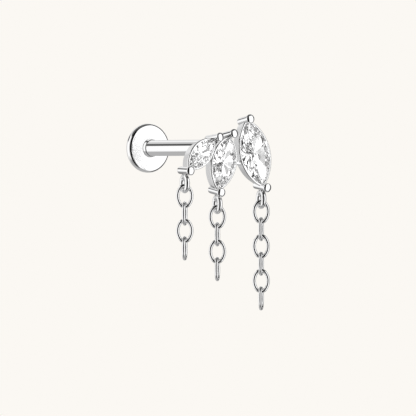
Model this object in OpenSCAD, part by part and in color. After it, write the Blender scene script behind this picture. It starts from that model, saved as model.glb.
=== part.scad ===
// Flat-back ear stud: a fan of three marquise stones, each with a short chain
// hanging from its lower prong. Millimetres. The post runs along Y, the stones
// face -Y and +Z is up. The origin is on the post's axis at the front of the
// ear, where the back of the setting meets the end of the post.

/* [Post and flat back] */
// Diameter of the post that goes through the ear
post_d = 1.2; // [1.1:0.05:1.3]
// Length of post between the flat back and the setting
post_len = 8; // [6:0.5:10]
// Diameter of the flat back
back_d = 3.7; // [3:0.1:4.5]
// Thickness of the flat back
back_t = 0.7; // [0.5:0.05:0.9]
// Length of the pin on the setting that pushes into the post
pin_len = 4; // [3:0.5:5]

/* [Setting] */
// Depth of the cups from their open backs to their rims
cup_depth = 1.05; // [1:0.05:1.2]
// Width of rim outside each stone
rim_w = 0.18; // [0.15:0.01:0.2]
// Diameter of the prong wire
prong_d = 0.57; // [0.51:0.02:0.61]
// Diameter of the low domed head on each prong
head_d = 0.68; // [0.65:0.01:0.71]

/* [Chains] */
// Length of a link over its wire
link_len = 1.84; // [1.8:0.02:1.88]
// Width of a link over its wire
link_w = 1.31; // [1.27:0.02:1.35]
// Diameter of a link's wire
link_wire = 0.26; // [0.24:0.01:0.27]

/* [Hidden] */
$fn = 48;

// One row for each stone, centres measured from the post's axis. Lean is
// clockwise from upright, seen from the front. Head is how far the prongs'
// heads lie from the stone's centre, splay is how much the lower prong leans
// out, and hang is how far in front of the ear the chain hangs.
SMALL = 0;
MIDDLE = 1;
LARGE = 2;
LENGTH = 0;
WIDTH = 1;
CENTRE = 2;
LEAN = 3;
HEAD = 4;
LOWER_SPLAY = 5;
HANG = 6;
LINKS = 7;
STONES = [
    [3.0, 1.5, [-1.40, -0.48], 46.5, 1.84, 0.05, 0.70, 4],
    [4.0, 2.0, [0.62, -1.15], 14.8, 2.29, 0.16, 0.96, 4],
    [5.0, 2.5, [3.43, -0.42], -16.6, 2.70, 0.16, 0.75, 6],
];
STONE_NAMES = ["small", "middle", "large"];
ALL_STONES = [SMALL, MIDDLE, LARGE];

// Bars between the cups, a row for each bar. An end is a stone, then how far
// along its long axis, and across it, the bar's end lies.
STONE = 0;
ALONG = 1;
ACROSS = 2;
BARS = [
    [[SMALL, 0.06, 0.73], [MIDDLE, 0.07, -0.9]],
    [[MIDDLE, 0.28, 0.91], [LARGE, -0.47, -1.14]],
];
bar_r = 0.16;
bar_front = 0.72;

post_r = post_d / 2;
back_r = back_d / 2;
back_front_edge = 0.22;
back_rear_edge = 0.24;
collar_r = post_r + 0.04;
collar_len = 0.36;
collar_flare = 0.15;
pin_r = 0.38;
pin_play = 0.03;
bore_spare = 0.4;
lead_in = 0.06;
cut_past = 1;

seat_gap = 0.02;
pad_r = 0.7;
pad_front_r = 0.66;
pad_t = 0.38;

// The cups narrow towards their open backs. A ledge inside carries the stone.
cup_taper = 0.24;
wall_t = 0.2;
ledge_in = 0.1;
girdle_sink = 0.06;
girdle_t = 0.07;
ledge_drop = 0.13;
stone_gap = 0.025;

prong_r = prong_d / 2;
prong_foot = 0.07;
upper_splay = 0.16;
head_r = head_d / 2;
head_above_rim = 0.49;
head_front = cup_depth + head_above_rim;
head_step = 0.06;
head_rise = 0.14;
dome_r = (pow(head_r, 2) + pow(head_rise, 2)) / (2 * head_rise);

loop_wire = 0.38;
loop_len = 1.5;
loop_w = 1.38;
loop_sink = 0.08;
loop_turn = 80;

// Cut of the stones. The table and the facet rings are the outline moved in.
cut_steps = 4;
crown_in = 0.42;
crown_rise = 0.15;
star_share = 0.52;
pavilion_depth = 0.4;
lower_share = 0.75;

link_gap = 0.02;
first_link_gap = 0.08;
link_pitch = link_len - 2 * link_wire - link_gap;
face_turn = -34;
edge_turn = 47;
wire_sides = 24;

LINK_IDS = [for (s = ALL_STONES, n = [1 : STONES[s][LINKS]]) [s, n]];

function stone_name(s) = str(STONE_NAMES[s], "_stone");
function link_name(id) = str(STONE_NAMES[id[0]], "_chain_link_", id[1]);

// A marquise outline is the lens where two equal circles overlap: their radius,
// and how far each centre lies beyond the stone's long axis
function arc_r(s) = (pow(STONES[s][LENGTH], 2) + pow(STONES[s][WIDTH], 2)) / (4 * STONES[s][WIDTH]);
function arc_off(s) = arc_r(s) - STONES[s][WIDTH] / 2;

// Place in the fan, as [x, z], of a point on stone s
function on_stone(s, along, across = 0) =
    let (lean = STONES[s][LEAN])
    STONES[s][CENTRE] + along * [sin(lean), cos(lean)] + across * [cos(lean), -sin(lean)];

// How far a prong's wire is from its stone's centre, at a distance in front of
// the ear. Tip is 1 for the upper prong and -1 for the lower one.
function splay(s, tip) = tip > 0 ? upper_splay : STONES[s][LOWER_SPLAY];
function prong_out(s, tip, front) = STONES[s][HEAD] - (head_front - front) * splay(s, tip);

// Puts children that are drawn face up, at the origin, at stone s in the fan
module in_fan(s) {
    translate([STONES[s][CENTRE].x, 0, STONES[s][CENTRE].y])
        rotate([0, STONES[s][LEAN], 0])
            rotate([90, 0, 0])
                children();
}

// A lens-shaped block, its outline grown by grow0 at the foot, grow1 at the top
module lens(s, grow0, grow1, h) {
    intersection_for (side = [-1, 1])
        translate([side * arc_off(s), 0, 0])
            cylinder(r1 = arc_r(s) + grow0, r2 = arc_r(s) + grow1, h = h);
}

module lens_at(s, front, grow0, grow1, h) {
    translate([0, 0, front])
        lens(s, grow0, grow1, h);
}

// Oval rings, drawn upright in the XZ plane. The side arcs run into the end
// arcs where a 3-4-5 triangle joins their centres.

module wire_arc(r, sweep, wire) {
    rotate_extrude(angle = sweep)
        translate([r, 0])
            circle(d = wire, $fn = wire_sides);
}

module oval_ring(ring_len, ring_w, wire) {
    half_l = (ring_len - wire) / 2;
    half_w = (ring_w - wire) / 2;
    side_share = 4 / 5;
    end_share = 3 / 5;
    centre_gap = (half_l - half_w) / (side_share + end_share - 1);
    side_off = side_share * centre_gap;
    end_off = end_share * centre_gap;
    turn = atan2(end_share, side_share);
    rotate([90, 0, 0])
        for (flip_x = [0, 1], flip_y = [0, 1])
            mirror([flip_x, 0, 0])
                mirror([0, flip_y, 0]) {
                    translate([-side_off, 0, 0])
                        wire_arc(half_w + side_off, turn, wire);
                    translate([0, end_off, 0])
                        rotate([0, 0, turn])
                            wire_arc(half_l - end_off, 90 - turn, wire);
                }
}

// Flat back and hollow post

module rim_profile() {
    rear_r = back_r - back_rear_edge;
    square([rear_r, back_t]);
    translate([0, back_front_edge])
        square([back_r, back_t - back_front_edge - back_rear_edge]);
    square([back_r - back_front_edge, back_t - back_rear_edge]);
    translate([back_r - back_front_edge, back_front_edge])
        circle(back_front_edge);
    translate([rear_r, back_t - back_rear_edge])
        circle(back_rear_edge);
}

// The solder round the post's foot, which flares out into the flat back
module collar() {
    collar_h = collar_len + back_t / 2;
    cylinder(r1 = collar_r, r2 = collar_r + collar_flare * collar_h, h = collar_h);
}

module flat_back_post() {
    color("gainsboro")
        rotate([-90, 0, 0])
            difference() {
                union() {
                    cylinder(r = post_r, h = post_len + back_t / 2);
                    translate([0, 0, post_len - collar_len])
                        collar();
                    translate([0, 0, post_len])
                        rotate_extrude()
                            rim_profile();
                }
                translate([0, 0, -cut_past])
                    cylinder(r = pin_r + pin_play, h = cut_past + pin_len + bore_spare);
                translate([0, 0, -lead_in])
                    cylinder(r1 = pin_r + pin_play + 2 * lead_in, r2 = pin_r + pin_play, h = 2 * lead_in);
            }
}

// Setting: cups, prongs, bars, loops and pin, soldered into one

module cup_outside(s) {
    back_grow = rim_w - cup_depth * cup_taper;
    lens(s, back_grow, rim_w, cup_depth);
}

// Everything inside a cup: the opening under the ledge, the stone's seat, and
// the room that the stone's crown needs between the prongs
module cup_inside(s) {
    back_grow = rim_w - cup_depth * cup_taper - wall_t;
    ledge = cup_depth - girdle_sink - ledge_drop;
    crown_in_mm = crown_in * STONES[s][WIDTH] / 2;
    girdle_top = cup_depth - girdle_sink + girdle_t;
    lens_at(s, -cut_past, back_grow, back_grow, cut_past + ledge);
    lens_at(s, 0, back_grow, -ledge_in, ledge + stone_gap);
    lens_at(s, ledge, stone_gap, stone_gap, girdle_top - ledge);
    lens_at(s, girdle_top, stone_gap, stone_gap - crown_in_mm, crown_rise * STONES[s][WIDTH]);
}

// A prong at one tip. Its wire leans out and ends in a low domed head.
module prong(s, tip) {
    lean = atan(splay(s, tip));
    wire_len = (head_front - prong_foot) / cos(lean);
    translate([0, tip * prong_out(s, tip, prong_foot), prong_foot])
        rotate([-tip * lean, 0, 0]) {
            cylinder(r = prong_r, h = wire_len);
            translate([0, 0, wire_len])
                intersection() {
                    translate([0, 0, -head_step])
                        cylinder(r = head_r, h = head_step + 2 * head_rise);
                    translate([0, 0, head_rise - dome_r])
                        sphere(dome_r);
                }
        }
}

function bar_end(end) = on_stone(end[STONE], end[ALONG], end[ACROSS]);

module bar(from, to) {
    span = to - from;
    translate([from.x, -bar_front, from.y])
        rotate([0, atan2(span.x, span.y), 0])
            cylinder(r = bar_r, h = norm(span));
}

// Centre of the loop that is soldered under the lower prong
function loop_place(s) =
    let (wire = on_stone(s, -prong_out(s, -1, STONES[s][HANG])))
    [wire.x, -STONES[s][HANG], wire.y - prong_r - loop_len / 2 + loop_sink];

module hanging_loop(s) {
    translate(loop_place(s))
        rotate([0, 0, loop_turn])
            oval_ring(loop_len, loop_w, loop_wire);
}

module pin_and_pad() {
    translate([0, -seat_gap, 0]) {
        rotate([90, 0, 0])
            cylinder(r1 = pad_r, r2 = pad_front_r, h = pad_t);
        rotate([-90, 0, 0]) {
            cylinder(r = pin_r, h = pin_len - lead_in);
            translate([0, 0, pin_len - lead_in])
                cylinder(r1 = pin_r, r2 = pin_r - lead_in, h = lead_in);
        }
    }
}

module setting() {
    color("gainsboro") {
        difference() {
            union() {
                for (s = ALL_STONES)
                    in_fan(s) {
                        translate([0, 0, seat_gap])
                            cup_outside(s);
                        prong(s, 1);
                        prong(s, -1);
                    }
                for (ends = BARS)
                    bar(bar_end(ends[0]), bar_end(ends[1]));
            }
            for (s = ALL_STONES)
                in_fan(s)
                    cup_inside(s);
        }
        pin_and_pad();
        for (s = ALL_STONES)
            hanging_loop(s);
    }
}

// Stones

// Point on the outline moved in by inset, at step i of the way round from the
// middle of the right side. The tips are at cut_steps and 3 * cut_steps.
function ring_point(s, inset, i) =
    let (
        r = arc_r(s) - inset,
        turn = i % (4 * cut_steps),
        right = turn <= cut_steps || turn >= 3 * cut_steps,
        step = turn <= cut_steps ? turn : right ? turn - 4 * cut_steps : 2 * cut_steps - turn,
        angle = acos(arc_off(s) / r) * step / cut_steps,
        x = r * cos(angle) - arc_off(s)
    )
    [right ? x : -x, r * sin(angle)];

function ring_3d(s, inset, z, steps) =
    [for (i = steps) let (p = ring_point(s, inset, i)) [p.x, p.y, z]];

module marquise(s) {
    half_w = STONES[s][WIDTH] / 2;
    n = 4 * cut_steps;
    m = n / 2;
    mains = [0 : 2 : n - 1];
    halves = [1 : 2 : n - 1];
    crown_h = crown_rise * STONES[s][WIDTH];
    table_in = crown_in * half_w;
    star_in = table_in * star_share;
    lower_in = half_w * lower_share;
    pavilion_h = pavilion_depth * STONES[s][WIDTH];
    star_x = ring_point(s, star_in, 1).x;
    lower_x = ring_point(s, lower_in, 1).x;
    star_z = girdle_t + crown_h * (half_w - star_x) / table_in;
    lower_z = -pavilion_h * (1 - lower_x / half_w);
    points = concat(
        ring_3d(s, table_in, girdle_t + crown_h, mains),
        ring_3d(s, star_in, star_z, halves),
        ring_3d(s, 0, girdle_t, [0 : n - 1]),
        ring_3d(s, 0, 0, [0 : n - 1]),
        ring_3d(s, lower_in, lower_z, halves),
        [[0, 0, -pavilion_h]]
    );
    star = m;
    top = 2 * m;
    low = top + n;
    lower = low + n;
    culet = lower + m;
    faces = concat(
        [[for (i = [m - 1 : -1 : 0]) i]],
        [for (i = [0 : m - 1]) [i, (i + 1) % m, star + i]],
        [for (i = [0 : m - 1]) [i, star + i, top + 2 * i]],
        [for (i = [0 : m - 1]) [i, top + 2 * i, star + (i + m - 1) % m]],
        [for (i = [0 : m - 1]) [star + i, top + 2 * i + 1, top + 2 * i]],
        [for (i = [0 : m - 1]) [star + i, top + (2 * i + 2) % n, top + 2 * i + 1]],
        [for (i = [0 : n - 1]) [top + i, top + (i + 1) % n, low + (i + 1) % n, low + i]],
        [for (i = [0 : m - 1]) [lower + i, low + 2 * i, low + 2 * i + 1]],
        [for (i = [0 : m - 1]) [lower + i, low + 2 * i + 1, low + (2 * i + 2) % n]],
        [for (i = [0 : m - 1]) [low + 2 * i, lower + i, lower + (i + m - 1) % m]],
        [for (i = [0 : m - 1]) [culet, lower + (i + m - 1) % m, lower + i]]
    );
    polyhedron(points, faces);
}

module stone(s) {
    color("aliceblue")
        in_fan(s)
            translate([0, 0, cup_depth - girdle_sink])
                marquise(s);
}

// Chains

module chain_link(id) {
    s = id[0];
    n = id[1];
    first_drop = loop_len / 2 - loop_wire - first_link_gap - link_wire + link_len / 2;
    drop = first_drop + (n - 1) * link_pitch;
    color("gainsboro")
        translate(loop_place(s) - [0, 0, drop])
            rotate([0, 0, n % 2 == 1 ? face_turn : edge_turn])
                oval_ring(link_len, link_w, link_wire);
}

flat_back_post();
setting();
for (s = ALL_STONES) stone(s);
for (id = LINK_IDS) chain_link(id);
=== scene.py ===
"""Looks of a flat-back ear stud: a fan of three marquise stones in open-backed
cups, each with a short chain under its lower prong. Sizes here are millimetres,
and each finished piece is brought to metres."""
import math

import bmesh
import bpy
from mathutils import Matrix, Vector


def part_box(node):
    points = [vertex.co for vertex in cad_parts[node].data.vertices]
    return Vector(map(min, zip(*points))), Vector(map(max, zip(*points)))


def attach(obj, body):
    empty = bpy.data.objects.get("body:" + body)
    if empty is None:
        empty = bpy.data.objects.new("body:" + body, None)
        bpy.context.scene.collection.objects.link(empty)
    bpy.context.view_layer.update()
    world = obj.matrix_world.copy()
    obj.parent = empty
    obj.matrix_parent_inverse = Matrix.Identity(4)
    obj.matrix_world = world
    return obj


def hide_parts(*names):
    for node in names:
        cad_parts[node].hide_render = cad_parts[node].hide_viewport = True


MM = 0.001

# Camera: level, from the left of the front, through a long lens. The target is
# the middle of the picture, which is VIEW_WIDTH wide there. The clipping
# distances are metres.
VIEW_AZIMUTH = math.radians(-34)
LENS = 1000
SENSOR = 36
VIEW_WIDTH = 31.16
TARGET_RIGHT = -0.112
TARGET_UP = -4.52
CLIP_START = 0.01
CLIP_END = 10

FLOOR_Z = -24
FLOOR_RADIUS = 150
FLOOR_ROUGHNESS = 0.9
CREAM = (0.965, 0.938, 0.896, 1)

# Cards round the studio, as ranges in degrees: azimuth is 0 at the front and 90
# at the right, elevation is above the horizon, and soft is the width of a card's
# blurred edge. A card without an azimuth goes all round. Light is what a card
# leaves of the tent's brightness.
TENT_LIGHT = 1.3
CARDS = [
    {"azimuth": (-68, 0), "elevation": (-70, 70), "soft": 5, "light": 0.01},
    {"azimuth": (-84, -68), "elevation": (-60, 60), "soft": 5, "light": 0.4},
    {"azimuth": (8, 58), "elevation": (-40, 42), "soft": 8, "light": 1.15},
    {"azimuth": (62, 118), "elevation": (-50, 50), "soft": 8, "light": 0.08},
    {"azimuth": (-174, -148), "elevation": (16, 29.2), "soft": 3, "light": 0.1},
    {"azimuth": (176, 202), "elevation": (-24, 90), "soft": 12, "light": 0.6},
    {"azimuth": (140, 172), "elevation": (6, 30), "soft": 6, "light": 0.75},
    {"azimuth": (176, 240), "elevation": (-90, -26), "soft": 8, "light": 0.43},
    {"azimuth": (118, 176), "elevation": (-90, 10), "soft": 8, "light": 0.43},
    {"elevation": (44, 110), "soft": 6, "light": 0.12},
    {"azimuth": (-135, 118), "elevation": (-110, -42), "soft": 6, "light": 0.4},
]

# What the stones throw back comes from a brighter tent with many narrow cards:
# upright ones at even steps, level ones, and one card high up and one low down.
STONE_LIGHT = 2.45
UPRIGHT_CARDS = range(-178, 161, 22)
UPRIGHT_CARD_W = 8
LEVEL_CARDS = (-46, -20, 4, 28, 46)
LEVEL_CARD_H = 5
STONE_CARDS = [
    {"azimuth": (turn, turn + UPRIGHT_CARD_W), "elevation": (-70, 70), "soft": 2, "light": 0.01}
    for turn in UPRIGHT_CARDS
]
STONE_CARDS += [
    {"elevation": (height, height + LEVEL_CARD_H), "soft": 1, "light": 0.3}
    for height in LEVEL_CARDS
]
STONE_CARDS += [
    {"elevation": (55, 66), "soft": 2, "light": 0.05},
    {"elevation": (-66, -55), "soft": 2, "light": 0.05},
]

# Bounces of light that it takes to see through a stone into its cup, and between
# pieces of metal.
STONE_BOUNCES = 40
METAL_BOUNCES = 16

# Silver: how light and how rough it is, the depth of its relief in metres, the
# relief's waves to a metre, and the share of the tone left on faces that look
# down, as shade painted into the colour.
FINISHES = {
    "polished_silver": {"tone": 0.97, "rough": 0.04, "depth": 0.000002, "waves": 700},
    "satin_silver": {"tone": 0.97, "rough": 0.2, "depth": 0.000004, "waves": 1500},
    # A dark silver: shade painted into the joins at both ends of the post's collar.
    "collar_join_shade": {"tone": 0.35, "rough": 0.3, "depth": 0.000004, "waves": 1500},
    # The wire's finish has shade painted on its faces that look down.
    "wire_silver": {"tone": 0.97, "rough": 0.04, "depth": 0.000002, "waves": 700, "under": 0.42},
}

# Places in a piece's list of finishes. A prong's second one is its wire's.
POLISHED = 0
SATIN = 1
COLLAR_SHADE = 2
WIRE = 1

# Shares of the tone that the colour varies between, and the waves of its change
# and of the gloss's change, to a metre. The gloss varies by shares of the rough.
DULL_TINT = (0.985, 0.985, 0.99)
BRIGHT_TINT = (1, 0.998, 0.995)
TINT_WAVES = 900
GLOSS_WAVES = 600
GLOSS_SPAN = (0.8, 1.25)
RELIEF_STRENGTH = 0.5
NOISE_DETAIL = 4
NOISE_SPAN = (0.3, 0.7)

# Height of a face's normal where the painted underside shade starts and where it is whole.
UNDERSIDE = (-0.05, -0.5)

# Cubic zirconia, with a faint haze.
STONE_IOR = 2.16
HAZE_WAVES = 1500
HAZE = (0, 0.004)

# Post and flat back, along Y from the front of the ear.
POST_R = 0.6
POST_LEN = 8
BACK_R = 1.85
BACK_T = 0.7
BACK_FRONT_EDGE = 0.26
BACK_REAR_EDGE = 0.35
COLLAR_R = 0.64
COLLAR_FLARE_R = 0.694
COLLAR_LEN = 0.36
BORE_R = 0.41
BORE_LEN = 4.4
LEAD_IN = 0.06
PIN_R = 0.38
PIN_LEN = 4
SEAT_GAP = 0.02
PAD_R = 0.7
PAD_FRONT_R = 0.66
PAD_T = 0.38

# One row for each stone, from the small one on the left to the large one on the
# right: outline, place in the fan, lean from upright, how far the heads lie from
# the stone's centre, how much the lower prong leans out, and links in its chain.
STONES = {
    "small": {
        "length": 3, "width": 1.5, "centre": (-1.4, -0.48), "lean": 46.5,
        "head": 1.84, "splay": 0.05, "links": 4,
    },
    "middle": {
        "length": 4, "width": 2, "centre": (0.62, -1.15), "lean": 14.8,
        "head": 2.29, "splay": 0.16, "links": 4,
    },
    "large": {
        "length": 5, "width": 2.5, "centre": (3.43, -0.42), "lean": -16.6,
        "head": 2.7, "splay": 0.16, "links": 6,
    },
}

CUP_DEPTH = 1.05
RIM_W = 0.18
CUP_TAPER = 0.24
WALL_T = 0.2
LEDGE_IN = 0.1
LEDGE_Z = 0.86
STONE_GAP = 0.025
RIM_EDGE = 0.12
RIM_INNER_EDGE = 0.015

PRONG_R = 0.285
PRONG_FOOT = 0.07
UPPER_SPLAY = 0.16
HEAD_R = 0.34
HEAD_Z = 1.54
HEAD_RISE = 0.14
HEAD_STEP = 0.06

# Cut of the stones. The rows of the crown run from a height to a height, as
# shares of its rise, and end at a share of the way out from the centre. Those of
# the pavilion aim at a depth, as a share of the stone's width. The block that
# they are cut from is this many times as long as the stone.
BLOCK_SIZE = 1.2
GIRDLE_SINK = 0.06
GIRDLE_T = 0.07
CROWN_RISE = 0.15
GIRDLE = {"count": 64, "phase": 0.5}
FACET_MERGE = 1e-5
CROWN_ROWS = [
    {"count": 32, "phase": 0.5, "from": 0, "to": 1.18, "share": 0.62},
    {"count": 16, "phase": 0.5, "from": 0.08, "to": 1.08, "share": 0.6},
    {"count": 16, "phase": 0, "from": 0.3, "to": 1.06, "share": 0.46},
]
PAVILION_ROWS = [
    {"count": 32, "phase": 0.5, "to": 0.5},
    {"count": 32, "phase": 0, "to": 0.46},
    {"count": 16, "phase": 0.5, "to": 0.42},
    {"count": 16, "phase": 0, "to": 0.4},
]

# A bar's ends: the stone that it starts and stops at, with the place along and
# across that stone's outline.
BARS = [
    (("small", 0.06, 0.73), ("middle", 0.07, -0.9)),
    (("middle", 0.28, 0.91), ("large", -0.47, -1.14)),
]
BAR_R = 0.16
BAR_FRONT = 0.72

LOOP_WIRE = 0.38
LOOP_LEN = 1.5
LOOP_W = 1.38
LOOP_TURN = math.radians(80)
LINK_WIRE = 0.26
LINK_LEN = 1.84
LINK_W = 1.31
FIRST_LINK_GAP = 0.08
FACE_TURN = math.radians(-34)
EDGE_TURN = math.radians(47)

# Fineness of the shapes. A hold is how far from a long run's end the extra point
# lies that keeps its shading true.
WIRE_SIDES = 24
TURN_STEPS = 72
DOME_STEPS = 24
ARC_STEP = math.radians(4)
BACK_STEPS = 8
RIM_STEPS = 6
COLLAR_STEPS = 4
FINE_STEPS = 3
FINE_EDGE = 0.03
PAD_EDGE = 0.04
MERGE = 1e-4
HOLD = 0.08
BACK_HOLD = 0.37
RIM_HOLD = 0.14
SHARP_ANGLE = math.radians(32)

# A face is flat where more than this share of its normal lies along the axis, and
# upright where less than this share does.
FLAT = 0.999
UPRIGHT = 0.1

# Pieces that don't show in reflections.
UNMIRRORED = ("post", "flat_back", "large_cup", "large_upper_prong", "large_lower_prong")


# Shaping

def held(points, hold):
    """Adds a point near both ends of each long run."""
    out = [points[0]]
    for start, stop in zip(points, points[1:]):
        length = math.dist(start, stop)
        if length > 2 * hold:
            for share in (hold / length, 1 - hold / length):
                out.append(tuple(a + (b - a) * share for a, b in zip(start, stop)))
        out.append(stop)
    return out


def everything(bm):
    return bm.verts[:] + bm.edges[:] + bm.faces[:]


def move(bm, matrix):
    bmesh.ops.transform(bm, matrix=matrix, verts=bm.verts)


def close_up(bm, gap=MERGE):
    """Joins points that coincide and turns every face outwards."""
    bmesh.ops.remove_doubles(bm, verts=bm.verts, dist=gap)
    bmesh.ops.recalc_face_normals(bm, faces=bm.faces)


def lathe(profile, steps=TURN_STEPS, hold=HOLD):
    """Turns a line of (radius, height) points about Z into a closed shape."""
    bm = bmesh.new()
    verts = [bm.verts.new((radius, 0, height)) for radius, height in held(profile, hold)]
    edges = [bm.edges.new(pair) for pair in zip(verts, verts[1:])]
    bmesh.ops.spin(
        bm, geom=verts + edges, cent=(0, 0, 0), axis=(0, 0, 1),
        angle=2 * math.pi, steps=steps, use_merge=True,
    )
    close_up(bm)
    return bm


def soften(bm, edges, width, steps, material=-1):
    """Rounds these edges. The new faces get this material, or with -1 their
    neighbours'."""
    bmesh.ops.bevel(
        bm, geom=edges, offset=width, segments=steps, profile=0.5,
        affect="EDGES", material=material,
    )


def is_on_ring(vert, radius, height):
    return abs(vert.co.xy.length - radius) < MERGE and abs(vert.co.z - height) < MERGE


def round_ring(bm, radius, height, width, steps):
    """Rounds the turned edge at this radius and height."""
    ring = [e for e in bm.edges if all(is_on_ring(v, radius, height) for v in e.verts)]
    soften(bm, ring, width, steps)


def join(bm, part):
    """Adds part to bm."""
    mesh = bpy.data.meshes.new("part")
    part.to_mesh(mesh)
    part.free()
    bm.from_mesh(mesh)
    bpy.data.meshes.remove(mesh)


def new_piece(name, bm, materials):
    """Makes the object of a shape, in metres."""
    bmesh.ops.scale(bm, vec=(MM, MM, MM), verts=bm.verts)
    mesh = bpy.data.meshes.new(name)
    bm.to_mesh(mesh)
    bm.free()
    for material in materials:
        mesh.materials.append(material)
    piece = bpy.data.objects.new(name, mesh)
    bpy.context.scene.collection.objects.link(piece)
    return piece


def finish_metal(name, bm, materials, body, *nodes):
    """Finishes a piece of silver, on its body, in place of its nodes."""
    piece = new_piece(name, bm, materials)
    piece.data.shade_smooth()
    piece.data.set_sharp_from_angle(angle=SHARP_ANGLE)
    weights = piece.modifiers.new("even_normals", "WEIGHTED_NORMAL")
    weights.keep_sharp = True
    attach(piece, body)
    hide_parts(*nodes)


def finish_stone(name, bm, material, node):
    """Finishes a stone, with flat facets."""
    piece = new_piece(name, bm, [material])
    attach(piece, "front")
    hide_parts(node)


# Post and flat back

def along_post():
    """Z of a turned shape becomes +Y, from the front of the ear backwards."""
    return Matrix.Rotation(math.radians(-90), 4, "X")


def post():
    """The post and its collar, with shade painted as darker silver at both ends of the collar, where
    it meets the post and the disc.
    """
    collar_start = POST_LEN - COLLAR_LEN
    profile = [
        (0, BORE_LEN),
        (BORE_R, BORE_LEN),
        (BORE_R, LEAD_IN),
        (BORE_R + LEAD_IN, 0),
        (POST_R, 0),
        (POST_R, collar_start),
        (COLLAR_R, collar_start),
        (COLLAR_FLARE_R, POST_LEN),
        (COLLAR_FLARE_R, POST_LEN + BACK_T / 2),
        (0, POST_LEN + BACK_T / 2),
    ]
    bm = lathe(profile, 2 * TURN_STEPS)
    round_ring(bm, POST_R, 0, FINE_EDGE, FINE_STEPS)
    round_ring(bm, COLLAR_R, collar_start, FINE_EDGE, COLLAR_STEPS)
    # Painted shade where the collar meets the post and the disc.
    for face in bm.faces:
        height = face.calc_center_median().z
        at_front = collar_start - MERGE < height < collar_start + HOLD
        at_disc = POST_LEN - HOLD < height < POST_LEN
        if at_front or at_disc:
            face.material_index = COLLAR_SHADE
    move(bm, along_post())
    return bm


def flat_back():
    rear = POST_LEN + BACK_T
    profile = [(0, POST_LEN), (BACK_R, POST_LEN), (BACK_R, rear), (0, rear)]
    bm = lathe(profile, 2 * TURN_STEPS, BACK_HOLD)
    round_ring(bm, BACK_R, POST_LEN, BACK_FRONT_EDGE, BACK_STEPS)
    round_ring(bm, BACK_R, rear, BACK_REAR_EDGE, BACK_STEPS)
    for face in bm.faces:
        if abs(face.normal.z) > FLAT:
            face.material_index = SATIN
    move(bm, along_post())
    return bm


# Cups

def arc_r(row):
    """Radius of the two equal circles whose overlap is the marquise outline."""
    return (row["length"] ** 2 + row["width"] ** 2) / (4 * row["width"])


def arc_off(row):
    """How far the centres of those circles are from the long axis."""
    return arc_r(row) - row["width"] / 2


def in_fan(row):
    """Takes a shape drawn face up at the origin to its stone's place."""
    x, z = row["centre"]
    lean = Matrix.Rotation(math.radians(row["lean"]), 4, "Y")
    return Matrix.Translation((x, 0, z)) @ lean @ Matrix.Rotation(math.radians(90), 4, "X")


def is_on_rim(vert, row, grow):
    """Whether the point lies on the rim's front, this far outside the stone."""
    from_centre = Vector((abs(vert.co.x) + arc_off(row), vert.co.y)).length
    is_in_front = abs(vert.co.z - CUP_DEPTH - SEAT_GAP) < MERGE
    return is_in_front and abs(from_centre - arc_r(row) - grow) < MERGE


def cup(row):
    """The wall's section is swept round one side's arc, cut at the long axis and
    mirrored, so that the two sides meet in a mitre at each tip."""
    rim_z = CUP_DEPTH + SEAT_GAP
    back_out = RIM_W - CUP_DEPTH * CUP_TAPER
    back_in = back_out - WALL_T
    corners = [
        (back_in, SEAT_GAP),
        (back_out, SEAT_GAP),
        (RIM_W, rim_z),
        (STONE_GAP, rim_z),
        (STONE_GAP, LEDGE_Z),
        (-LEDGE_IN, LEDGE_Z),
    ]
    section = held(corners + corners[:1], RIM_HOLD)[:-1]
    bm = bmesh.new()
    reach = math.acos(arc_off(row) / (arc_r(row) + RIM_W)) + ARC_STEP
    verts = [bm.verts.new((arc_r(row) - arc_off(row) + grow, 0, z)) for grow, z in section]
    edges = [bm.edges.new((verts[i - 1], verts[i])) for i in range(len(verts))]
    centre = (-arc_off(row), 0, 0)
    bmesh.ops.rotate(bm, verts=verts, cent=centre, matrix=Matrix.Rotation(-reach, 3, "Z"))
    bmesh.ops.spin(
        bm, geom=verts + edges, cent=centre, axis=(0, 0, 1), angle=2 * reach, steps=2 * TURN_STEPS
    )
    bmesh.ops.remove_doubles(bm, verts=bm.verts, dist=MERGE)
    bmesh.ops.bisect_plane(
        bm, geom=everything(bm), dist=MERGE, plane_co=(0, 0, 0), plane_no=(1, 0, 0), clear_inner=True
    )
    bmesh.ops.mirror(
        bm, geom=everything(bm), matrix=Matrix.Identity(4), merge_dist=MERGE, axis="X"
    )
    close_up(bm)
    for face in bm.faces:
        if abs(face.normal.z) < UPRIGHT or face.calc_center_median().z < LEDGE_Z:
            face.material_index = SATIN
    for grow, width in ((RIM_W, RIM_EDGE), (STONE_GAP, RIM_INNER_EDGE)):
        rim = [e for e in bm.edges if all(is_on_rim(v, row, grow) for v in e.verts)]
        soften(bm, rim, width, RIM_STEPS, POLISHED)
    move(bm, in_fan(row))
    return bm


# Prongs

def prong_splay(row, tip):
    return UPPER_SPLAY if tip > 0 else row["splay"]


def prong_out(row, tip, z):
    """How far the prong's middle is from the stone's centre, at this height."""
    return row["head"] - (HEAD_Z - z) * prong_splay(row, tip)


def prong(row, tip):
    """A round wire with a low domed head, a little wider than the wire. Tip is 1
    for the upper prong and -1 for the lower one."""
    lean = math.atan(prong_splay(row, tip))
    head = (HEAD_Z - PRONG_FOOT) / math.cos(lean)
    neck = head - HEAD_STEP
    angles = [math.pi / 2 * i / DOME_STEPS for i in range(DOME_STEPS + 1)]
    dome = [(HEAD_R * math.cos(a), head + HEAD_RISE * math.sin(a)) for a in angles]
    bm = lathe([(0, 0), (PRONG_R, 0), (PRONG_R, neck), (HEAD_R, neck)] + dome)
    round_ring(bm, PRONG_R, 0, FINE_EDGE, FINE_STEPS)
    for face in bm.faces:
        if face.calc_center_median().z < neck - MERGE:
            face.material_index = WIRE
    foot = Matrix.Translation((0, tip * prong_out(row, tip, PRONG_FOOT), PRONG_FOOT))
    move(bm, foot @ Matrix.Rotation(-tip * lean, 4, "X"))
    move(bm, in_fan(row))
    return bm


# Bars, pin, loops and links

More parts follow.
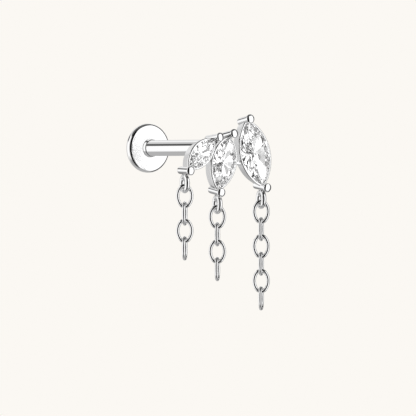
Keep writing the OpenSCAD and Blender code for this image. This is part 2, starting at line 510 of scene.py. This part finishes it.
def bar_end(stone, along, across):
    lean = math.radians(STONES[stone]["lean"])
    x, z = STONES[stone]["centre"]
    x += along * math.sin(lean) + across * math.cos(lean)
    z += along * math.cos(lean) - across * math.sin(lean)
    return Vector((x, -BAR_FRONT, z))


def bar(start, stop):
    span = bar_end(*stop) - bar_end(*start)
    bm = lathe([(0, 0), (BAR_R, 0), (BAR_R, span.length), (0, span.length)], TURN_STEPS // 2)
    turn = span.to_track_quat("Z", "Y").to_matrix().to_4x4()
    move(bm, Matrix.Translation(bar_end(*start)) @ turn)
    return bm


def pin_and_pad():
    """The pad is in front of the seat and the pin behind it, inside the post."""
    profile = [
        (0, -PAD_T),
        (PAD_FRONT_R, -PAD_T),
        (PAD_R, 0),
        (PIN_R, 0),
        (PIN_R, PIN_LEN - LEAD_IN),
        (PIN_R - LEAD_IN, PIN_LEN),
        (0, PIN_LEN),
    ]
    bm = lathe(profile)
    round_ring(bm, PAD_FRONT_R, -PAD_T, PAD_EDGE, FINE_STEPS)
    round_ring(bm, PAD_R, 0, PAD_EDGE, FINE_STEPS)
    move(bm, Matrix.Translation((0, -SEAT_GAP, 0)) @ along_post())
    return bm


def oval_ring(ring_len, ring_w, wire):
    """An upright oval of round wire in the XZ plane. Its side arcs run into its
    end arcs where a 3-4-5 triangle joins their centres."""
    half_l = (ring_len - wire) / 2
    half_w = (ring_w - wire) / 2
    centre_gap = (half_l - half_w) / (4 / 5 + 3 / 5 - 1)
    side_off = centre_gap * 4 / 5
    end_off = centre_gap * 3 / 5
    turn = math.atan2(3, 4)
    end_turn = math.pi - 2 * turn
    arcs = [
        ((-side_off, 0, 0), turn),
        ((0, 0, end_off), end_turn),
        ((side_off, 0, 0), 2 * turn),
        ((0, 0, -end_off), end_turn),
        ((-side_off, 0, 0), turn),
    ]
    bm = bmesh.new()
    bmesh.ops.create_circle(bm, segments=WIRE_SIDES, radius=wire / 2, cap_ends=False)
    bmesh.ops.translate(bm, vec=(half_w, 0, 0), verts=bm.verts)
    section = bm.verts[:] + bm.edges[:]
    for centre, angle in arcs:
        made = bmesh.ops.spin(
            bm, geom=section, cent=centre, axis=(0, -1, 0),
            angle=angle, steps=math.ceil(angle / ARC_STEP),
        )
        section = made["geom_last"]
    close_up(bm)
    return bm


def middle_of(node):
    """Middle of a node's box, in millimetres."""
    low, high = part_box(node)
    return (low + high) / 2 / MM


def soldered_loop(name):
    """The loop that the first link of a chain hangs from."""
    rise = LOOP_LEN / 2 - LOOP_WIRE - FIRST_LINK_GAP - LINK_WIRE + LINK_LEN / 2
    place = middle_of(f"{name}_chain_link_1") + Vector((0, 0, rise))
    bm = oval_ring(LOOP_LEN, LOOP_W, LOOP_WIRE)
    move(bm, Matrix.Translation(place) @ Matrix.Rotation(LOOP_TURN, 4, "Z"))
    return bm


def chain_link(node, number):
    """Odd links face the camera, and even ones are nearly edge on."""
    bm = oval_ring(LINK_LEN, LINK_W, LINK_WIRE)
    turn = FACE_TURN if number % 2 == 1 else EDGE_TURN
    move(bm, Matrix.Translation(middle_of(node)) @ Matrix.Rotation(turn, 4, "Z"))
    return bm


# Stones

def outline_reach(row, turn):
    """How far the outline reaches from the stone's centre, in the direction turn."""
    tip_turn = math.acos(arc_off(row) / arc_r(row))
    side_turn = min(abs(turn), math.pi - abs(turn))
    if side_turn < tip_turn:
        return arc_r(row) - arc_off(row) * math.cos(side_turn)
    return row["length"] / 2 * math.sin(side_turn)


def facet_turn(number, facets):
    """Direction of one of a row of facets, from minus to plus half a turn."""
    turn = (number + facets["phase"]) * 2 * math.pi / facets["count"]
    return math.remainder(turn, 2 * math.pi)


def cut_facet(bm, point, normal):
    """Cuts off what lies beyond a plane, and closes the stone again."""
    cut = bmesh.ops.bisect_plane(
        bm, geom=everything(bm), dist=FACET_MERGE, plane_co=point, plane_no=normal, clear_outer=True
    )
    edges = [part for part in cut["geom_cut"] if isinstance(part, bmesh.types.BMEdge)]
    if len(edges) > 2:
        bmesh.ops.contextual_create(bm, geom=edges)


def cut_row(bm, row, facets, edge_z, aim_z, aim_share=0):
    """Cuts a ring of facets. Each runs from the outline at the height edge_z
    towards the height aim_z, at this share of the way out from the centre."""
    for i in range(facets["count"]):
        turn = facet_turn(i, facets)
        reach = outline_reach(row, turn)
        out = Vector((math.cos(turn), math.sin(turn), 0))
        run = reach * (1 - aim_share)
        normal = out * (aim_z - edge_z) + Vector((0, 0, run))
        if aim_z < edge_z:
            normal = -normal
        cut_facet(bm, out * reach + Vector((0, 0, edge_z)), normal.normalized())


def cut_stone(row):
    bm = bmesh.new()
    bmesh.ops.create_cube(bm, size=BLOCK_SIZE * row["length"])
    for i in range(GIRDLE["count"]):
        turn = facet_turn(i, GIRDLE)
        out = Vector((math.cos(turn), math.sin(turn), 0))
        cut_facet(bm, out * outline_reach(row, turn), out)
    crown = CROWN_RISE * row["width"]
    cut_facet(bm, Vector((0, 0, GIRDLE_T + crown)), Vector((0, 0, 1)))
    for facets in CROWN_ROWS:
        start_z = GIRDLE_T + facets["from"] * crown
        stop_z = GIRDLE_T + facets["to"] * crown
        cut_row(bm, row, facets, start_z, stop_z, facets["share"])
    for facets in PAVILION_ROWS:
        cut_row(bm, row, facets, 0, -facets["to"] * row["width"])
    close_up(bm, FACET_MERGE)
    bmesh.ops.translate(bm, vec=(0, 0, CUP_DEPTH - GIRDLE_SINK), verts=bm.verts)
    move(bm, in_fan(row))
    return bm


# Finishes

def map_range(tree, value, source, target=(0, 1), interpolation="LINEAR"):
    """Takes a value from one range to another."""
    node = tree.nodes.new("ShaderNodeMapRange")
    node.interpolation_type = interpolation
    for socket, number in zip(("From Min", "From Max", "To Min", "To Max"), source + target):
        node.inputs[socket].default_value = number
    tree.links.new(value, node.inputs["Value"])
    return node.outputs["Result"]


def new_material(name):
    """A material, its node tree and its shader."""
    material = bpy.data.materials.new(name)
    material.use_nodes = True
    tree = material.node_tree
    tree.nodes.clear()
    out = tree.nodes.new("ShaderNodeOutputMaterial")
    shader = tree.nodes.new("ShaderNodeBsdfPrincipled")
    tree.links.new(shader.outputs["BSDF"], out.inputs["Surface"])
    return material, tree, shader


def noise(tree, waves):
    """Noise on the piece's own coordinates, with this many waves to a metre."""
    place = tree.nodes.new("ShaderNodeTexCoord")
    texture = tree.nodes.new("ShaderNodeTexNoise")
    texture.inputs["Scale"].default_value = waves
    texture.inputs["Detail"].default_value = NOISE_DETAIL
    tree.links.new(place.outputs["Object"], texture.inputs["Vector"])
    return texture.outputs["Fac"]


def painted_underside_shade(tree, colour, share):
    """Paints shade on faces that look down: takes the colour to this share of it there."""
    surface = tree.nodes.new("ShaderNodeNewGeometry")
    facing = tree.nodes.new("ShaderNodeSeparateXYZ")
    tree.links.new(surface.outputs["Normal"], facing.inputs[0])
    shade_share = map_range(tree, facing.outputs["Z"], UNDERSIDE, (1, share), "SMOOTHSTEP")
    scale = tree.nodes.new("ShaderNodeVectorMath")
    scale.operation = "SCALE"
    tree.links.new(colour, scale.inputs[0])
    tree.links.new(shade_share, scale.inputs["Scale"])
    return scale.outputs[0]


def silver(name):
    """One of the finishes. Its colour, gloss and surface all vary a little."""
    finish = FINISHES[name]
    material, tree, shader = new_material(name)
    shader.inputs["Metallic"].default_value = 1
    mix = tree.nodes.new("ShaderNodeMix")
    mix.data_type = "RGBA"
    for socket, tint in (("A", DULL_TINT), ("B", BRIGHT_TINT)):
        mix.inputs[socket].default_value = (*(finish["tone"] * part for part in tint), 1)
    tree.links.new(noise(tree, TINT_WAVES), mix.inputs["Factor"])
    colour = mix.outputs["Result"]
    # Painted shade on the undersides.
    if "under" in finish:
        colour = painted_underside_shade(tree, colour, finish["under"])
    tree.links.new(colour, shader.inputs["Base Color"])
    span = tuple(finish["rough"] * share for share in GLOSS_SPAN)
    gloss = map_range(tree, noise(tree, GLOSS_WAVES), NOISE_SPAN, span)
    tree.links.new(gloss, shader.inputs["Roughness"])
    relief = tree.nodes.new("ShaderNodeBump")
    relief.inputs["Strength"].default_value = RELIEF_STRENGTH
    relief.inputs["Distance"].default_value = finish["depth"]
    tree.links.new(noise(tree, finish["waves"]), relief.inputs["Height"])
    tree.links.new(relief.outputs["Normal"], shader.inputs["Normal"])
    return material


def clear_stone():
    material, tree, shader = new_material("clear_stone")
    shader.inputs["Base Color"].default_value = (1, 1, 1, 1)
    shader.inputs["IOR"].default_value = STONE_IOR
    shader.inputs["Transmission Weight"].default_value = 1
    haze = map_range(tree, noise(tree, HAZE_WAVES), NOISE_SPAN, HAZE)
    tree.links.new(haze, shader.inputs["Roughness"])
    return material


def pale_floor():
    material, tree, shader = new_material("pale_floor")
    shader.inputs["Base Color"].default_value = CREAM
    shader.inputs["Roughness"].default_value = FLOOR_ROUGHNESS
    return material


# Studio

def make_camera():
    right = Vector((math.cos(VIEW_AZIMUTH), math.sin(VIEW_AZIMUTH), 0))
    back = Vector((math.sin(VIEW_AZIMUTH), -math.cos(VIEW_AZIMUTH), 0))
    target = TARGET_RIGHT * right + Vector((0, 0, TARGET_UP))
    data = bpy.data.cameras.new("camera")
    data.lens = LENS
    data.sensor_width = SENSOR
    data.clip_start = CLIP_START
    data.clip_end = CLIP_END
    camera = bpy.data.objects.new("camera", data)
    camera.location = (target + back * (VIEW_WIDTH * LENS / SENSOR)) * MM
    camera.rotation_euler = back.to_track_quat("Z", "Y").to_euler()
    bpy.context.scene.collection.objects.link(camera)
    bpy.context.scene.camera = camera


def make_floor():
    bm = bmesh.new()
    bmesh.ops.create_circle(bm, segments=TURN_STEPS, radius=FLOOR_RADIUS, cap_ends=True)
    bmesh.ops.translate(bm, vec=(0, 0, FLOOR_Z), verts=bm.verts)
    floor = new_piece("floor", bm, [pale_floor()])
    floor.visible_glossy = False
    floor.visible_transmission = False


class Sums:
    """Arithmetic in a node tree."""

    def __init__(self, tree):
        self.tree = tree

    def put(self, socket, value):
        if isinstance(value, (int, float)):
            socket.default_value = value
        else:
            self.tree.links.new(value, socket)

    def work(self, operation, *values):
        node = self.tree.nodes.new("ShaderNodeMath")
        node.operation = operation
        for socket, value in zip(node.inputs, values):
            self.put(socket, value)
        return node.outputs[0]

    def step(self, value, edge, soft):
        """0 below the edge and 1 above it, with a soft change."""
        source = (edge - soft / 2, edge + soft / 2)
        return map_range(self.tree, value, source, interpolation="SMOOTHSTEP")

    def window(self, value, low, high, soft):
        """1 between low and high."""
        return self.work("SUBTRACT", self.step(value, low, soft), self.step(value, high, soft))


def card_light(sums, azimuth, elevation, light, cards):
    """Brightness of a tent with these cards in it. A card whose azimuth runs past
    the back, at 180, goes on from -180."""
    for card in cards:
        soft = card["soft"]
        inside = sums.window(elevation, *card["elevation"], soft)
        if "azimuth" in card:
            low, high = card["azimuth"]
            around = sums.window(azimuth, low, high, soft)
            if high > 180:
                rest = sums.window(azimuth, low - 360, high - 360, soft)
                around = sums.work("ADD", around, rest)
            inside = sums.work("MULTIPLY", inside, around)
        left = sums.work("SUBTRACT", 1, sums.work("MULTIPLY", inside, 1 - card["light"]))
        light = sums.work("MULTIPLY", light, left)
    return light


def make_world():
    """The tent that the metal and the stones reflect. The camera and the floor
    see plain cream, and rays that have passed through a stone see its own cards."""
    world = bpy.data.worlds.new("studio")
    world.use_nodes = True
    tree = world.node_tree
    tree.nodes.clear()
    sums = Sums(tree)
    place = tree.nodes.new("ShaderNodeTexCoord")
    direction = tree.nodes.new("ShaderNodeSeparateXYZ")
    tree.links.new(place.outputs["Generated"], direction.inputs[0])
    x, y, z = direction.outputs
    forward = sums.work("MULTIPLY", y, -1)
    azimuth = sums.work("DEGREES", sums.work("ARCTAN2", x, forward))
    elevation = sums.work("DEGREES", sums.work("ARCSINE", z))
    for_metal = card_light(sums, azimuth, elevation, TENT_LIGHT, CARDS)
    for_stones = card_light(sums, azimuth, elevation, STONE_LIGHT, STONE_CARDS)
    path = tree.nodes.new("ShaderNodeLightPath")
    thrown = path.outputs["Is Transmission Ray"]
    metal_share = sums.work("MULTIPLY", for_metal, sums.work("SUBTRACT", 1, thrown))
    stone_share = sums.work("MULTIPLY", for_stones, thrown)
    out = tree.nodes.new("ShaderNodeOutputWorld")
    tent = tree.nodes.new("ShaderNodeBackground")
    sums.put(tent.inputs["Strength"], sums.work("ADD", metal_share, stone_share))
    seen = tree.nodes.new("ShaderNodeBackground")
    seen.inputs["Color"].default_value = CREAM
    mix = tree.nodes.new("ShaderNodeMixShader")
    plain = sums.work("MAXIMUM", path.outputs["Is Camera Ray"], path.outputs["Is Diffuse Ray"])
    tree.links.new(plain, mix.inputs[0])
    tree.links.new(tent.outputs[0], mix.inputs[1])
    tree.links.new(seen.outputs[0], mix.inputs[2])
    tree.links.new(mix.outputs[0], out.inputs["Surface"])
    bpy.context.scene.world = world


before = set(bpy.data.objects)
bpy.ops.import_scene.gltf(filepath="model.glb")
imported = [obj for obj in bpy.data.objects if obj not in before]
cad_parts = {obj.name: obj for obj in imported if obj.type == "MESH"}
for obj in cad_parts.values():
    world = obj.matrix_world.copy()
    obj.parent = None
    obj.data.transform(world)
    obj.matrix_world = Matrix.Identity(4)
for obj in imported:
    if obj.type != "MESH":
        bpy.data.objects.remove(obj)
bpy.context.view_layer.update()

polished_silver = silver("polished_silver")
satin_silver = silver("satin_silver")
collar_join_shade = silver("collar_join_shade")
wire_silver = silver("wire_silver")
metals = [polished_silver, satin_silver, collar_join_shade]

finish_metal("post", post(), metals, "back", "flat_back_post")
finish_metal("flat_back", flat_back(), metals, "back", "flat_back_post")

for name, row in STONES.items():
    # Prong wires, but the large upper one, get the finish with painted underside shade.
    upper_wire = polished_silver if name == "large" else wire_silver
    upper_finish = [polished_silver, upper_wire]
    lower_finish = [polished_silver, wire_silver]
    finish_metal(f"{name}_cup", cup(row), metals, "front", "setting")
    finish_metal(f"{name}_upper_prong", prong(row, 1), upper_finish, "front", "setting")
    finish_metal(f"{name}_lower_prong", prong(row, -1), lower_finish, "front", "setting")
    finish_metal(f"{name}_loop", soldered_loop(name), metals, "front", "setting")
    for number in range(1, row["links"] + 1):
        node = f"{name}_chain_link_{number}"
        finish_metal(f"{name}_link_{number}", chain_link(node, number), metals, "front", node)

bars = bmesh.new()
for start, stop in BARS:
    join(bars, bar(start, stop))
finish_metal("bars", bars, metals, "front", "setting")
finish_metal("pin_and_pad", pin_and_pad(), metals, "front", "setting")

zirconia = clear_stone()
for name, row in STONES.items():
    finish_stone(f"{name}_cut_stone", cut_stone(row), zirconia, f"{name}_stone")

for name in UNMIRRORED:
    bpy.data.objects[name].visible_glossy = False

make_floor()
make_world()
make_camera()

scene = bpy.context.scene
scene.view_settings.view_transform = "Standard"
scene.cycles.max_bounces = STONE_BOUNCES
scene.cycles.transmission_bounces = STONE_BOUNCES
scene.cycles.glossy_bounces = METAL_BOUNCES
